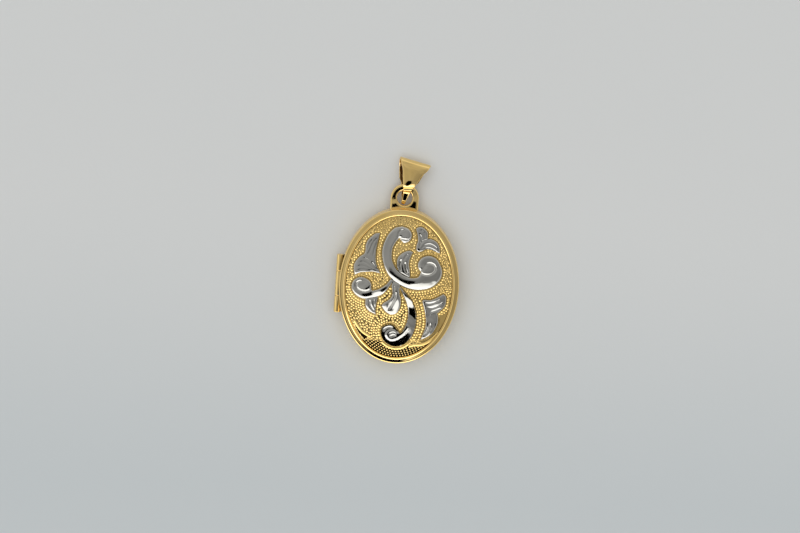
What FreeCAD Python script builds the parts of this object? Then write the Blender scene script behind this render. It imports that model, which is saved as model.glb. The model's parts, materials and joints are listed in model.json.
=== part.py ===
import FreeCAD, Part
import math
import os

# An oval two-tone locket with a fold-over bail, lying on its back.
# Origin: centre of the flat back. +Z points out of the embossed cover, +Y towards the bail,
# and the hinge runs along the -X side. All sizes are in millimetres.
#
# Every oval outline is the case outline moved inwards by an "inset".

Vector = FreeCAD.Vector

# Case
case_half_width = 7.5
case_half_height = 9.75
back_wall = 0.30
cover_wall = 0.25
back_flat_inset = 2.3
back_curve_height = 1.0
split_height = 2.0
split_gap = 0.02
cover_wall_top = 2.75
cover_bevel_inset = 0.62
cover_bevel_height = 0.70
cover_inside_top = 2.95
ridge_inset = 0.74
ridge_width = 0.22
ridge_height = 0.15
notch_radius = 1.2
notch_depth = 0.12

# Embossed panel and the white relief on it
panel_inset = 0.97
panel_seat = 3.18
panel_edge = 3.48
panel_crown = 3.95
panel_sheet = 0.30
panel_ledge_inset = 1.40
scroll_relief = 0.32
leaf_relief = 0.25

# Photo rims inside both halves
collar_width = 0.22
collar_top = 2.35
collar_ledge_inset = 1.20
bezel_inset = 0.65
bezel_width = 0.20
bezel_bottom = 2.05
bezel_ledge_inset = 1.35
ledge_thickness = 0.15
card_thickness = 0.15
window_thickness = 0.15
frame_width = 0.80
frame_thickness = 0.23
loose_fit = 0.02

# Hinge
hinge_x = -7.5
hinge_y = -0.2
hinge_z = 2.0
knuckle_radius = 0.45
knuckle_clearance = 0.50
pin_radius = 0.20
pin_running_gap = 0.02
outer_knuckle_length = 2.05
middle_knuckle_length = 3.10
knuckle_gap = 0.05
leaf_thickness = 0.22
leaf_reach = 1.1

# Bail eye, a flat plate standing on the top edge of the back
eye_y = 10.97
eye_outer_radius = 1.76
eye_hole_radius = 0.96
eye_half_width = 1.575
eye_mid_height = 1.40
eye_thickness = 0.90
eye_bevel = 0.16
eye_foot_depth = 2.0

# Bail. Its profile is drawn in (u, w): u runs along the bail from its lowest curl to its top,
# and w across its two legs.
bail_sway = 13.0
bail_foot_x = -0.12
bail_foot_y = 10.50
bail_barrel_u = 3.95
bail_barrel_radius = 1.35
bail_strip = 0.27
bail_leg_w = 0.98


def oval_wire(inset, height):
    """The case outline moved inwards by inset, at a height."""
    top = Vector(0, case_half_height - inset, height)
    side = Vector(inset - case_half_width, 0, height)
    ellipse = Part.Ellipse(top, side, Vector(0, 0, height))
    return Part.Wire([ellipse.toShape()])


def oval(levels):
    """A solid through oval sections, given as (inset, height) from the bottom up."""
    wires = [oval_wire(inset, height) for inset, height in levels]
    return Part.makeLoft(wires, True, True)


def oval_plate(inset, low, high):
    return oval([(inset, low), (inset, high)])


def oval_ring(outer_inset, inner_inset, low, high):
    return oval_plate(outer_inset, low, high).cut(oval_plate(inner_inset, low - 1, high + 1))


def hinge_rod(radius, start, end):
    """A rod on the hinge axis between two places along Y."""
    return Part.makeCylinder(radius, end - start, Vector(hinge_x, start, hinge_z), Vector(0, 1, 0))


def outline_face(runs, height=0.0):
    """A flat face whose edge is smooth along each run of points and has a tip where runs meet."""
    edges = []
    for run in runs:
        points = [Vector(x, y, height) for x, y in run]
        if len(points) == 2:
            edges.append(Part.LineSegment(points[0], points[1]).toShape())
        else:
            curve = Part.BSplineCurve()
            curve.interpolate(points)
            edges.append(curve.toShape())
    return Part.Face(Part.Wire(edges))


# ---------------------------------------------------------------- places along the hinge

hinge_half_length = middle_knuckle_length / 2 + knuckle_gap + outer_knuckle_length
hinge_span = (hinge_y - hinge_half_length, hinge_y + hinge_half_length)
upper_knuckle = (hinge_span[1] - outer_knuckle_length, hinge_span[1])
lower_knuckle = (hinge_span[0], hinge_span[0] + outer_knuckle_length)
middle_knuckle = (hinge_y - middle_knuckle_length / 2, hinge_y + middle_knuckle_length / 2)


def knuckle_blank(span, leaf_low, cavity_inset):
    """An unbored knuckle with the small leaf that joins it to the case wall."""
    start, end = span
    leaf = Part.makeBox(leaf_reach, end - start, leaf_thickness, Vector(hinge_x, start, leaf_low))
    leaf = leaf.cut(oval_plate(cavity_inset, 0, 4))
    return hinge_rod(knuckle_radius, start, end).fuse(leaf).removeSplitter()


def back_knuckle_blank(span):
    return knuckle_blank(span, hinge_z - knuckle_radius, back_wall)


def cover_knuckle_blank():
    return knuckle_blank(middle_knuckle, hinge_z + knuckle_radius - leaf_thickness, cover_wall)


def back_knuckle(span):
    """A knuckle brazed to the back. The pin is pressed into it."""
    return back_knuckle_blank(span).cut(hinge_rod(pin_radius, span[0] - 1, span[1] + 1))


def cover_knuckle():
    """The cover's knuckle, which turns on the pin."""
    bore = hinge_rod(pin_radius + pin_running_gap, middle_knuckle[0] - 1, middle_knuckle[1] + 1)
    return cover_knuckle_blank().cut(bore)


def hinge_pin():
    pin = hinge_rod(pin_radius, *hinge_span)
    return pin.makeChamfer(pin_radius / 3, [edge for edge in pin.Edges if edge.Closed])


def clearance_for(span):
    """The round space that lets another part's knuckle turn."""
    return hinge_rod(knuckle_clearance, span[0] - knuckle_gap, span[1] + knuckle_gap)


# ---------------------------------------------------------------- case halves

def nail_notch():
    """A shallow thumbnail dimple across the split, opposite the hinge."""
    centre_x = case_half_width + notch_radius - notch_depth
    return Part.makeSphere(notch_radius, Vector(centre_x, 0, split_height))


def back_curve(wall):
    """The curved back from its flat to its upright wall, moved inwards by a wall thickness."""
    levels = []
    for degrees in range(0, 91, 15):
        turn = math.radians(degrees)
        inset = back_flat_inset * (1 - math.sin(turn)) + wall
        height = back_curve_height * (1 - math.cos(turn)) + wall
        levels.append((inset, height))
    return levels


def back_shell():
    outside = oval(back_curve(0) + [(0, split_height)])
    inside = oval(back_curve(back_wall) + [(back_wall, split_height + 1)])
    shell = outside.cut(inside).cut(nail_notch())
    for span in (upper_knuckle, lower_knuckle):
        shell = shell.cut(back_knuckle_blank(span))
    return shell.cut(clearance_for(middle_knuckle))


def cover_outside():
    """The cover's upright wall, its rounded bevel and the raised ridge round the panel."""
    levels = [(0, split_height + split_gap)]
    for degrees in range(0, 91, 15):
        turn = math.radians(degrees)
        inset = cover_bevel_inset * (1 - math.cos(turn))
        levels.append((inset, cover_wall_top + cover_bevel_height * math.sin(turn)))
    foot = cover_wall_top + cover_bevel_height + 0.01
    for step in range(0, 7):
        turn = math.radians(180 - 30 * step)
        inset = ridge_inset + ridge_width / 2 * (1 + math.cos(turn))
        levels.append((inset, foot + ridge_height * math.sin(turn) + 0.001 * step))
    return oval(levels)


def front_shell():
    inside = oval([
        (cover_wall, split_height - 1),
        (cover_wall, cover_inside_top - 0.17),
        (cover_wall + 0.20, cover_inside_top),
    ])
    shell = cover_outside().cut(inside)
    shell = shell.cut(oval_plate(panel_ledge_inset, 1, 5))
    shell = shell.cut(oval_plate(panel_inset, panel_seat, 5))
    shell = shell.cut(nail_notch()).cut(cover_knuckle_blank())
    for span in (upper_knuckle, lower_knuckle):
        shell = shell.cut(clearance_for(span))
    return shell


# ---------------------------------------------------------------- photo rims, cards and windows

def back_collar():
    """The upright rim that the closed cover slips over, with the ledge that the card lies on."""
    outer = back_wall
    inner = back_wall + collar_width
    low = back_wall + back_curve_height
    rim = oval_ring(outer, inner, low, collar_top)
    ledge = oval_ring(outer, collar_ledge_inset, low, low + ledge_thickness)
    collar = rim.fuse(ledge).removeSplitter()
    return collar.cut(clearance_for(hinge_span))


def front_bezel():
    """The cover's inner rim. It stands inside the collar when the locket is closed."""
    low = cover_inside_top - ledge_thickness
    rim = oval_ring(bezel_inset, bezel_inset + bezel_width, bezel_bottom, cover_inside_top)
    ledge = oval_ring(bezel_inset, bezel_ledge_inset, low, cover_inside_top)
    return rim.fuse(ledge).removeSplitter()


def photo_stack(inset, base, direction):
    """Card, window and frame laid on a ledge, one above the other in a direction."""
    heights = [base]
    for thickness in (card_thickness, window_thickness, frame_thickness):
        heights.append(heights[-1] + direction * thickness)
    spans = [sorted(pair) for pair in zip(heights, heights[1:])]
    card = oval_plate(inset, *spans[0])
    window = oval_plate(inset, *spans[1])
    frame = oval_ring(inset, inset + frame_width, *spans[2])
    return card, window, frame


# ---------------------------------------------------------------- embossed panel and its relief

def dome(lift):
    """An ellipsoid whose top is the panel's crowned face, raised by lift."""
    half_width = case_half_width - panel_inset
    half_height = case_half_height - panel_inset
    rise = panel_crown - panel_edge
    radius = (half_width ** 2 + rise ** 2) / (2 * rise)
    ball = Part.makeSphere(radius)
    stretch = FreeCAD.Matrix()
    stretch.scale(1, half_height / half_width, 1)
    ball = ball.transformGeometry(stretch)
    ball.translate(Vector(0, 0, panel_crown - radius + lift))
    return ball


def embossed_panel():
    blank = oval_plate(panel_inset, panel_seat, 5).common(dome(0))
    hollow = oval_plate(panel_ledge_inset, panel_seat - 1, 5).common(dome(-panel_sheet))
    return blank.cut(hollow)


def raised(outlines, relief):
    """Relief of an even height over the crowned panel, inside closed outlines."""
    solid = None
    for runs in outlines:
        prism = outline_face(runs, panel_seat).extrude(Vector(0, 0, 2))
        solid = prism if solid is None else solid.fuse(prism)
    return solid.common(dome(relief)).cut(dome(0)).removeSplitter()


main_scroll = [
    [(-0.1, 7.75), (-1.0, 7.5), (-1.6, 6.9), (-2.1, 6.0), (-2.4, 5.0), (-2.45, 4.2), (-2.3, 3.3),
     (-2.0, 2.4), (-1.5, 1.5), (-0.9, 0.9), (0.0, 0.35), (1.0, -0.05), (2.0, -0.2), (3.0, -0.1),
     (4.0, 0.2), (4.8, 0.8), (5.25, 1.6), (5.3, 2.4), (5.0, 3.2), (4.5, 3.9), (3.7, 4.25),
     (3.0, 4.2), (2.4, 3.8), (2.1, 3.2), (2.15, 2.6), (2.5, 2.1)],
    [(2.5, 2.1), (2.3, 1.6), (1.3, 1.4), (0.4, 1.7), (-0.5, 2.4), (-0.8, 2.9), (-1.05, 3.5),
     (-1.1, 4.2), (-1.0, 5.0), (-0.7, 5.6), (-0.35, 6.1)],
    [(-0.35, 6.1), (0.2, 5.55), (0.9, 5.8), (1.25, 6.6), (0.85, 7.4), (-0.1, 7.75)],
]

left_scroll = [
    [(-0.7, 0.9), (-1.1, 0.2), (-1.5, -0.5), (-2.0, -1.1), (-2.7, -1.45), (-3.5, -1.65),
     (-4.3, -1.8), (-5.0, -1.6), (-5.6, -1.1), (-5.95, -0.4), (-5.9, 0.2), (-5.5, 0.8),
     (-4.9, 1.05), (-4.2, 0.95), (-3.6, 0.6), (-3.35, 0.15)],
    [(-3.35, 0.15), (-3.3, -0.5), (-2.8, -0.4), (-2.3, -0.15), (-1.8, 0.2), (-1.45, 0.55),
     (-1.1, 1.1)],
    [(-1.1, 1.1), (-0.7, 0.9)],
]

small_leaf = [
    [(-4.1, -1.6), (-4.0, -2.7), (-3.6, -3.2), (-2.65, -3.6)],
    [(-2.65, -3.6), (-2.7, -3.0), (-2.6, -1.9), (-2.5, -1.3)],
    [(-2.5, -1.3), (-4.1, -1.6)],
]

bud = [
    [(-0.8, 0.9), (-0.95, 0.2), (-0.8, -0.6), (-0.85, -1.1), (-1.2, -1.6), (-1.7, -1.95),
     (-2.0, -2.4), (-1.8, -2.8), (-1.4, -3.2), (-0.8, -3.45), (-0.2, -3.3), (0.2, -2.8),
     (0.4, -2.1), (0.35, -1.4), (0.15, -0.7), (0.1, 0.5)],
    [(0.1, 0.5), (-0.8, 0.9)],
]

tail_scroll = [
    [(-0.3, 0.7), (0.5, -0.2), (1.1, -0.8), (1.7, -1.5), (2.05, -2.2), (2.35, -3.0), (2.45, -3.9),
     (2.4, -4.8), (2.2, -5.6), (1.8, -6.4), (1.3, -7.0), (0.6, -7.4), (-0.1, -7.5), (-0.8, -7.3),
     (-1.4, -6.9), (-1.8, -6.3), (-1.95, -5.7), (-1.85, -5.2), (-1.4, -4.8), (-0.9, -4.65),
     (-0.3, -4.8), (0.1, -5.2)],
    [(0.1, -5.2), (0.5, -5.7), (0.9, -5.2), (1.15, -4.5), (1.3, -3.8), (1.35, -3.0), (1.2, -2.3),
     (0.9, -1.5), (0.4, -0.6), (-0.1, 0.3)],
    [(-0.1, 0.3), (-0.3, 0.7)],
]

inner_leaf = [
    [(1.5, 4.55), (1.0, 4.75), (0.5, 4.6), (0.0, 4.3), (-0.4, 3.8), (-0.5, 3.2), (-0.4, 2.6),
     (-0.1, 1.9)],
    [(-0.1, 1.9), (1.35, 1.2)],
    [(1.35, 1.2), (1.25, 2.2), (1.1, 3.0), (1.15, 3.6), (1.3, 4.1), (1.5, 4.55)],
]

upper_left_leaf = [
    [(-2.75, 6.65), (-3.3, 6.6), (-3.8, 6.2), (-4.3, 5.6), (-4.5, 5.0), (-4.5, 4.3), (-4.6, 4.0),
     (-5.1, 3.6), (-5.5, 3.1), (-5.8, 2.4), (-5.75, 1.7), (-5.6, 1.15)],
    [(-5.6, 1.15), (-5.0, 1.5), (-4.3, 1.65), (-3.5, 1.75), (-2.4, 1.6)],
    [(-2.4, 1.6), (-2.7, 2.2), (-3.0, 2.9), (-3.1, 3.6), (-3.1, 4.5), (-3.0, 5.3), (-2.75, 6.65)],
]

upper_right_leaf = [
    [(1.6, 7.45), (1.8, 7.65), (2.3, 7.75), (2.8, 7.5), (3.15, 7.1), (3.2, 6.4)],
    [(3.2, 6.4), (3.7, 6.3), (4.3, 6.0), (4.7, 5.4), (4.85, 4.5)],
    [(4.85, 4.5), (4.3, 4.7), (3.6, 4.95), (3.0, 4.95), (2.6, 4.7), (2.2, 4.6), (1.85, 4.8),
     (1.8, 5.4), (1.95, 6.0), (1.9, 6.5), (1.75, 7.0), (1.6, 7.45)],
]

lower_right_leaf = [
    [(2.95, -1.5), (3.1, -1.35), (4.0, -1.3), (4.6, -1.05), (5.2, -0.7), (5.6, -0.45)],
    [(5.6, -0.45), (5.95, -0.8), (6.0, -1.5), (5.9, -2.0), (5.5, -2.5), (5.0, -3.0)],
    [(5.0, -3.0), (5.15, -3.5), (5.15, -4.2), (4.9, -4.9), (4.5, -5.6), (3.9, -6.1), (3.1, -6.5)],
    [(3.1, -6.5), (3.3, -5.8), (3.55, -5.0), (3.6, -4.2), (3.5, -3.3), (3.3, -2.5), (3.1, -1.9),
     (2.95, -1.5)],
]


# ---------------------------------------------------------------- bail and its eye

def eye_outline(inset, height):
    """The eye's round top and straight sides, moved inwards by inset. Its foot is inside the case."""
    radius = eye_outer_radius - inset
    half = eye_half_width - inset
    shoulder_y = eye_y - math.sqrt(radius ** 2 - half ** 2)
    foot_y = eye_y - eye_foot_depth
    right = Vector(half, shoulder_y, height)
    left = Vector(-half, shoulder_y, height)
    right_foot = Vector(half, foot_y, height)
    left_foot = Vector(-half, foot_y, height)
    return Part.Wire([
        Part.Arc(right, Vector(0, eye_y + radius, height), left).toShape(),
        Part.LineSegment(left, left_foot).toShape(),
        Part.LineSegment(left_foot, right_foot).toShape(),
        Part.LineSegment(right_foot, right).toShape(),
    ])


def bail_eye():
    """A round-topped plate with a hole, brazed to the top edge of the back."""
    low = eye_mid_height - eye_thickness / 2
    high = low + eye_thickness
    plate = Part.makeLoft([
        eye_outline(eye_bevel, low),
        eye_outline(0, low + eye_bevel),
        eye_outline(0, high - eye_bevel),
        eye_outline(eye_bevel, high),
    ], True, True)
    flare = eye_hole_radius + eye_bevel
    plate = plate.cut(Part.makeCylinder(eye_hole_radius, eye_thickness, Vector(0, eye_y, low)))
    plate = plate.cut(Part.makeCone(flare, eye_hole_radius, eye_bevel, Vector(0, eye_y, low)))
    plate = plate.cut(Part.makeCone(eye_hole_radius, flare, eye_bevel, Vector(0, eye_y, high - eye_bevel)))
    return plate.cut(oval_plate(0, 0, 4))


def spline(points):
    curve = Part.BSplineCurve()
    curve.interpolate([Vector(u, w, 0) for u, w in points])
    return curve.toShape()


def line(start, end):
    return Part.LineSegment(Vector(start[0], start[1], 0), Vector(end[0], end[1], 0)).toShape()


def barrel_loop(radius, leg_w, front_foot, foot, back_foot):
    """A closed keyhole: a round barrel, two straight legs and the curl that joins them."""
    joint_u = bail_barrel_u - math.sqrt(radius ** 2 - leg_w ** 2)
    front = (joint_u, leg_w)
    back = (joint_u, -leg_w)
    crown = Vector(bail_barrel_u + radius, 0, 0)
    arc = Part.Arc(Vector(back[0], back[1], 0), crown, Vector(front[0], front[1], 0)).toShape()
    curl = spline([front_foot] + foot + [back_foot])
    return Part.Wire([line(front, front_foot), curl, line(back_foot, back), arc])


def bail_profile():
    outer_foot = [(1.6, 0.94), (1.3, 0.77), (1.0, 0.54), (0.6, 0.40), (0.1, 0.31), (-0.3, 0.15),
                  (-0.35, -0.05), (-0.15, -0.25), (0.5, -0.47), (1.2, -0.72)]
    inner_foot = [(1.66, 0.67), (1.44, 0.53), (1.18, 0.31), (0.7, 0.14), (0.1, 0.02),
                  (0.6, -0.20), (1.2, -0.44)]
    inner_w = bail_leg_w - bail_strip
    inner_radius = bail_barrel_radius - bail_strip
    outer = barrel_loop(bail_barrel_radius, bail_leg_w, (1.9, bail_leg_w), outer_foot, (2.0, -bail_leg_w))
    inner = barrel_loop(inner_radius, inner_w, (1.9, inner_w), inner_foot, (2.0, -inner_w))
    return Part.Face(outer).cut(Part.Face(inner))


def bail_width(half_widths, low, high):
    """A block between two values of w, as wide as the strip is at each u."""
    left = [Vector(u, low, half) for u, half in half_widths]
    right = [Vector(u, low, -half) for u, half in reversed(half_widths)]
    return Part.Face(Part.makePolygon(left + right + left[:1])).extrude(Vector(0, high - low, 0))


def bail():
    """A tapered strip folded over into a barrel, with both ends meeting inside the eye."""
    front = [(6, 2.21), (1.9, 0.66), (1.2, 0.48), (0.0, 0.30), (-1, 0.16)]
    back = [(6, 2.14), (2.3, 0.92), (1.6, 0.66), (0.6, 0.40), (0.0, 0.30), (-1, 0.16)]
    strip = bail_profile().extrude(Vector(0, 0, 6))
    strip.translate(Vector(0, 0, -3))
    shape = strip.common(bail_width(front, 0, 3)).fuse(strip.common(bail_width(back, -3, 0)))
    shape = shape.removeSplitter()
    # (u, w, across) becomes (Y, Z, X) before the bail sways to its side.
    turn = FreeCAD.Matrix(0, 0, 1, 0, 1, 0, 0, 0, 0, 1, 0, 0, 0, 0, 0, 1)
    shape = shape.transformShape(turn, True)
    shape.rotate(Vector(0, 0, 0), Vector(0, 0, 1), -bail_sway)
    shape.translate(Vector(bail_foot_x, bail_foot_y, eye_mid_height))
    return shape


# ---------------------------------------------------------------- the whole locket

def make_parts():
    back_base = back_wall + back_curve_height + ledge_thickness
    front_base = cover_inside_top - ledge_thickness
    back_stack = photo_stack(back_wall + collar_width + loose_fit, back_base, 1)
    front_stack = photo_stack(bezel_inset + bezel_width + loose_fit, front_base, -1)
    cluster = [main_scroll, left_scroll, small_leaf, bud, tail_scroll, inner_leaf]
    return {
        "back_shell": back_shell(),
        "back_collar": back_collar(),
        "back_photo_card": back_stack[0],
        "back_window": back_stack[1],
        "back_photo_frame": back_stack[2],
        "hinge_knuckle_upper": back_knuckle(upper_knuckle),
        "hinge_knuckle_lower": back_knuckle(lower_knuckle),
        "hinge_knuckle_middle": cover_knuckle(),
        "hinge_pin": hinge_pin(),
        "front_shell": front_shell(),
        "front_bezel": front_bezel(),
        "front_photo_card": front_stack[0],
        "front_window": front_stack[1],
        "front_photo_frame": front_stack[2],
        "embossed_panel": embossed_panel(),
        "scroll_cluster": raised(cluster, scroll_relief),
        "leaf_upper_left": raised([upper_left_leaf], leaf_relief),
        "leaf_upper_right": raised([upper_right_leaf], leaf_relief),
        "leaf_lower_right": raised([lower_right_leaf], leaf_relief),
        "bail_eye": bail_eye(),
        "bail": bail(),
    }


os.makedirs("parts", exist_ok=True)
for name, shape in make_parts().items():
    shape.exportStep("parts/" + name + ".step")
    print(name, shape.ShapeType, len(shape.Solids), shape.isValid(), round(shape.Volume, 3))
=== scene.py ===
import json
import math

import bpy
import bmesh
import numpy as np
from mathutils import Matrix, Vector
from mathutils.geometry import delaunay_2d_cdt


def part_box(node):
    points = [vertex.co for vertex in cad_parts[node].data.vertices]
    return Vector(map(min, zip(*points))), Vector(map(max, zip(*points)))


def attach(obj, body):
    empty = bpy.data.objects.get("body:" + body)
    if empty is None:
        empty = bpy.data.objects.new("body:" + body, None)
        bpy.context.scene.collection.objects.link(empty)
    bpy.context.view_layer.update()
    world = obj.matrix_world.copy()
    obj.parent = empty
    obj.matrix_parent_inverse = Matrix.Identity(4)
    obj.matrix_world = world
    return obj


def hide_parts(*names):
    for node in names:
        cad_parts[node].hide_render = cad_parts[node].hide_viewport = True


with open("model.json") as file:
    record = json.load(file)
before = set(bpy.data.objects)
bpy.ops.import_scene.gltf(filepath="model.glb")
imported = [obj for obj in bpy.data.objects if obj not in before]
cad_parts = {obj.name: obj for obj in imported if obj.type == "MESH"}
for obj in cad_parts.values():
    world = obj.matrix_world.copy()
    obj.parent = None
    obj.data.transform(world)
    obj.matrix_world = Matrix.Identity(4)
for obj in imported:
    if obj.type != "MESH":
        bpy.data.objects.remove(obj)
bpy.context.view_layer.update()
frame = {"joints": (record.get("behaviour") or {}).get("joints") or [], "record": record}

# The looks of an oval two-tone locket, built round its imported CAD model.
# Lengths are in millimetres until mesh_piece() makes a mesh of them. Every oval outline is the
# case outline moved inwards by an "inset", as in the CAD model.

MM = 0.001
UP = np.array((0.0, 0.0, 1.0))


def cad_size(node):
    """Lowest and highest corner of a CAD node, in millimetres."""
    low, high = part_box(node)
    return np.array(low) / MM, np.array(high) / MM


def joint_named(name):
    return next(joint for joint in frame["joints"] if joint["name"] == name)


def mount_named(name):
    return next(mount for mount in frame["record"]["mounts"] if mount["name"] == name)


back_low, back_high = cad_size("back_shell")
cover_low, cover_high = cad_size("front_shell")
panel_low, panel_high = cad_size("embossed_panel")
half_width = back_high[0]
half_height = back_high[1]
split = back_high[2]


# ---------------- camera

def aim(thing, position, target, up):
    """Points a camera at a target with a chosen up direction."""
    back = (Vector(position) - Vector(target)).normalized()
    side = Vector(up).cross(back).normalized()
    upward = back.cross(side)
    turn = thing.matrix_world.to_3x3()
    turn.col[0], turn.col[1], turn.col[2] = side, upward, back
    matrix = turn.to_4x4()
    matrix.translation = Vector(position)
    thing.matrix_world = matrix


def make_camera():
    """A long lens above the locket, rolled and tilted a few degrees as in the photograph."""
    roll = math.radians(3.8)
    tilt = math.radians(8.6)
    distance = 0.4
    side = Vector((math.cos(roll), math.sin(roll), 0))
    along = Vector((-math.sin(roll), math.cos(roll), 0))
    to_camera = math.cos(tilt) * Vector(UP) + math.sin(tilt) * along
    up = math.cos(tilt) * along - math.sin(tilt) * Vector(UP)
    target = Vector((0, 0, 1.75 * MM)) + 0.1375 * MM * side + 2.3 * MM * up
    data = bpy.data.cameras.new("camera")
    data.lens = 144
    data.sensor_width = 36
    data.clip_start = 0.01
    data.clip_end = 10
    camera = bpy.data.objects.new("camera", data)
    bpy.context.scene.collection.objects.link(camera)
    aim(camera, target + distance * to_camera, target, up)
    bpy.context.scene.camera = camera


# ---------------- node helpers

def add_node(tree, kind, settings=None, inputs=None):
    """A shader node with its settings, and its inputs given as values or linked sockets."""
    made = tree.nodes.new(kind)
    for key, value in (settings or {}).items():
        setattr(made, key, value)
    for key, value in (inputs or {}).items():
        if isinstance(value, bpy.types.NodeSocket):
            tree.links.new(value, made.inputs[key])
        else:
            made.inputs[key].default_value = value
    return made


def calculate(tree, operation, *values):
    """The result socket of a Math node."""
    inputs = dict(enumerate(values))
    return add_node(tree, "ShaderNodeMath", {"operation": operation}, inputs).outputs[0]


def fade(tree, value, start, end):
    """0 below start, 1 above end and smooth between."""
    settings = {"interpolation_type": "SMOOTHSTEP"}
    inputs = {"Value": value, "From Min": start, "From Max": end}
    return add_node(tree, "ShaderNodeMapRange", settings, inputs).outputs["Result"]


def noise(tree, place, size, detail=2.0, stretch=(1, 1, 1)):
    """Noise with lumps of a size in millimetres, optionally drawn out along an axis."""
    scale = [1 / (size * MM * part) for part in stretch]
    mapping = add_node(tree, "ShaderNodeMapping", None, {"Vector": place, "Scale": scale})
    inputs = {"Vector": mapping.outputs[0], "Scale": 1.0, "Detail": detail}
    return add_node(tree, "ShaderNodeTexNoise", None, inputs).outputs["Fac"]


def ramp(tree, value, stops):
    """A colour ramp with (position, colour) stops."""
    made = add_node(tree, "ShaderNodeValToRGB", None, {"Fac": value})
    made.color_ramp.elements[0].position = stops[0][0]
    made.color_ramp.elements[0].color = (*stops[0][1], 1)
    made.color_ramp.elements[1].position = stops[-1][0]
    made.color_ramp.elements[1].color = (*stops[-1][1], 1)
    for position, colour in stops[1:-1]:
        made.color_ramp.elements.new(position).color = (*colour, 1)
    return made.outputs["Color"]


def bump(tree, height, depth, before=None):
    """Bump of a depth in millimetres, on top of an earlier bump."""
    inputs = {"Height": height, "Distance": depth * MM, "Strength": 1.0}
    if before is not None:
        inputs["Normal"] = before
    return add_node(tree, "ShaderNodeBump", None, inputs).outputs["Normal"]


def spread(tree, value, low, high):
    """Maps noise onto a range."""
    inputs = {"Value": value, "From Min": 0.3, "From Max": 0.7, "To Min": low, "To Max": high}
    return add_node(tree, "ShaderNodeMapRange", None, inputs).outputs["Result"]


def new_material(name):
    """An empty node material with its Principled shader and its object coordinates."""
    material = bpy.data.materials.new(name)
    material.use_nodes = True
    tree = material.node_tree
    shader = tree.nodes["Principled BSDF"]
    place = add_node(tree, "ShaderNodeTexCoord").outputs["Object"]
    return material, tree, shader, place


# ---------------- materials

def surface(tree, shader, tint, polish, normal):
    """Links a material's colour, roughness and surface normal."""
    tree.links.new(tint, shader.inputs["Base Color"])
    tree.links.new(polish, shader.inputs["Roughness"])
    tree.links.new(normal, shader.inputs["Normal"])


def metal(name, pale, deep, roughness, waviness=0.0, grain=0.0, brushed=None):
    """A metal whose tint and polish vary a little, with hairline scratches and an uneven surface."""
    material, tree, shader, place = new_material(name)
    shader.inputs["Metallic"].default_value = 1.0
    blotches = noise(tree, place, 2.6, 3)
    tint = ramp(tree, blotches, [(0.35, deep), (0.65, pale)])
    polish = spread(tree, noise(tree, place, 0.9, 4), *roughness)
    hairlines = noise(tree, place, 0.05, 1, brushed or (12, 1, 3))
    normal = bump(tree, hairlines, 0.0006 if brushed is None else 0.003)
    if waviness:
        normal = bump(tree, noise(tree, place, 1.3, 1), waviness, normal)
    if grain:
        normal = bump(tree, noise(tree, place, 0.09, 2), grain, normal)
    surface(tree, shader, tint, polish, normal)
    return material


def window_material():
    """Thin clear acetate, faintly wavy."""
    material, tree, shader, place = new_material("clear_acetate")
    shader.inputs["Base Color"].default_value = (0.95, 0.96, 0.95, 1)
    shader.inputs["Transmission Weight"].default_value = 1.0
    shader.inputs["IOR"].default_value = 1.47
    polish = noise(tree, place, 1.4, 3)
    tree.links.new(spread(tree, polish, 0.02, 0.09), shader.inputs["Roughness"])
    tree.links.new(bump(tree, noise(tree, place, 3.0, 1), 0.01), shader.inputs["Normal"])
    return material


def card_material():
    """Blank satin photo card with a faint tooth."""
    material, tree, shader, place = new_material("blank_card")
    tone = ramp(tree, noise(tree, place, 1.8, 4), [(0.3, (0.74, 0.71, 0.65)), (0.7, (0.82, 0.8, 0.75))])
    polish = spread(tree, noise(tree, place, 0.4, 3), 0.42, 0.6)
    surface(tree, shader, tone, polish, bump(tree, noise(tree, place, 0.06, 3), 0.004))
    return material


def floor_material():
    """Pale matt paper, with a painted shadow: a little bluer and darker towards the near side, where the
    person at the camera shades it.
    """
    material, tree, shader, place = new_material("pale_paper")
    y = add_node(tree, "ShaderNodeSeparateXYZ", None, {"Vector": place}).outputs["Y"]
    # Painted shadow: this mask makes the paper darker and bluer towards the near side.
    near = fade(tree, y, 0.012, -0.034)
    cloud = calculate(tree, "MULTIPLY", noise(tree, place, 30, 2), 0.12)
    stops = [(0.0, (0.74, 0.752, 0.742)), (1.0, (0.625, 0.665, 0.675))]
    tone = ramp(tree, calculate(tree, "ADD", near, cloud), stops)
    shader.inputs["Specular IOR Level"].default_value = 0.2
    polish = spread(tree, noise(tree, place, 3, 2), 0.75, 0.9)
    surface(tree, shader, tone, polish, bump(tree, noise(tree, place, 0.5, 3), 0.01))
    return material


# ---------------- floor and light

def make_floor():
    """A pale sheet on the ground plane, much larger than the view."""
    half = 1.0
    mesh = bpy.data.meshes.new("floor")
    corners = [(-half, -half, 0), (half, -half, 0), (half, half, 0), (-half, half, 0)]
    mesh.from_pydata([(x, y, -0.01 * MM) for x, y, _ in corners], [], [(0, 1, 2, 3)])
    mesh.materials.append(floor_material())
    floor = bpy.data.objects.new("floor", mesh)
    bpy.context.scene.collection.objects.link(floor)


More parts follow.
